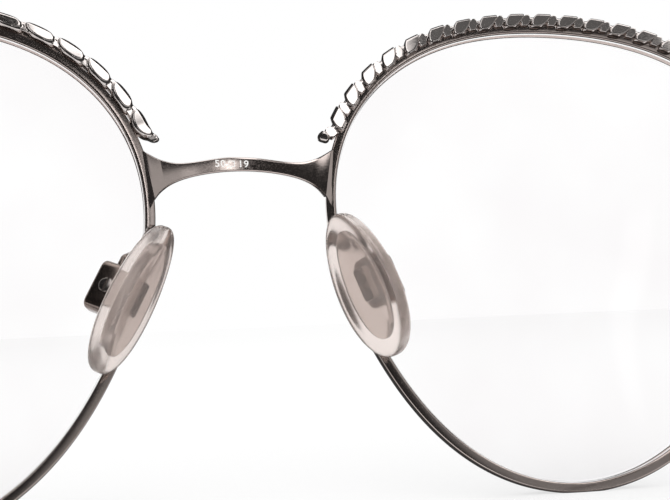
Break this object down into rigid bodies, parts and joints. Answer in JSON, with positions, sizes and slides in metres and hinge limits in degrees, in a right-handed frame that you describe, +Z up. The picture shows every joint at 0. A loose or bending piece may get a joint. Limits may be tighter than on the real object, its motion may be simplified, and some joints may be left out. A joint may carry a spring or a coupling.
{
  "type": "eyeglasses",
  "caption": "Round metal eyeglasses with twisted rope trims on the rims, a saddle bridge, screw-on silicone nose pads and folding temples.",
  "frame": {"origin": "on the ground, under the middle of the open frame", "axes": "+X towards the wearer's left, the front of the lenses faces -Y, the temples run towards +Y, +Z up"},
  "size_m": [0.1366, 0.1556, 0.0524],
  "materials": {
    "gunmetal": "polished gunmetal plating",
    "rope_metal": "polished plating with dark valleys",
    "lens_plastic": "clear, faintly coated",
    "silicone": "translucent, soft gloss",
    "core_plastic": "clear moulded",
    "screw_steel": "turned",
    "tip_plastic": "polished"
  },
  "bodies": {
    "front": {"left_rim": "gunmetal", "left_lens": "lens_plastic", "left_rope_trim": "rope_metal", "left_pad_box": "gunmetal", "left_pad_screw": "screw_steel", "left_pad_arm": "gunmetal", "left_upper_block": "gunmetal", "left_lower_block": "gunmetal", "left_rim_screw": "screw_steel", "left_end_piece": "gunmetal", "left_hinge_front": "gunmetal", "left_hinge_screw": "screw_steel", "right_rim": "gunmetal", "right_lens": "lens_plastic", "right_rope_trim": "rope_metal", "right_pad_box": "gunmetal", "right_pad_screw": "screw_steel", "right_pad_arm": "gunmetal", "right_upper_block": "gunmetal", "right_lower_block": "gunmetal", "right_rim_screw": "screw_steel", "right_end_piece": "gunmetal", "right_hinge_front": "gunmetal", "right_hinge_screw": "screw_steel", "bridge": "gunmetal"},
    "left_temple_body": {"left_temple": "gunmetal", "left_temple_tip": "tip_plastic", "left_hinge_temple": "gunmetal"},
    "left_pad_body": {"left_nose_pad": "silicone", "left_pad_core": "core_plastic"},
    "right_temple_body": {"right_temple": "gunmetal", "right_temple_tip": "tip_plastic", "right_hinge_temple": "gunmetal"},
    "right_pad_body": {"right_nose_pad": "silicone", "right_pad_core": "core_plastic"}
  },
  "joints": [
    {"name": "left_temple_fold", "type": "hinge", "parent": "front", "child": "left_temple_body", "pos_m": [0.0654, -0.05805, 0.03137], "axis": [0, 0, 1], "range_deg": [0, 90]},
    {"name": "right_temple_fold", "type": "hinge", "parent": "front", "child": "right_temple_body", "pos_m": [-0.0654, -0.05805, 0.03137], "axis": [0, 0, -1], "range_deg": [0, 84]},
    {"name": "left_pad_rock", "type": "hinge", "parent": "front", "child": "left_pad_body", "pos_m": [0.0132, -0.06899, 0.02222], "axis": [0.2867, 0.9013, 0.3246], "range_deg": [-7, 7]},
    {"name": "right_pad_rock", "type": "hinge", "parent": "front", "child": "right_pad_body", "pos_m": [-0.0131, -0.06946, 0.02227], "axis": [-0.5034, 0.8002, 0.3261], "range_deg": [-7, 7]}
  ]
}
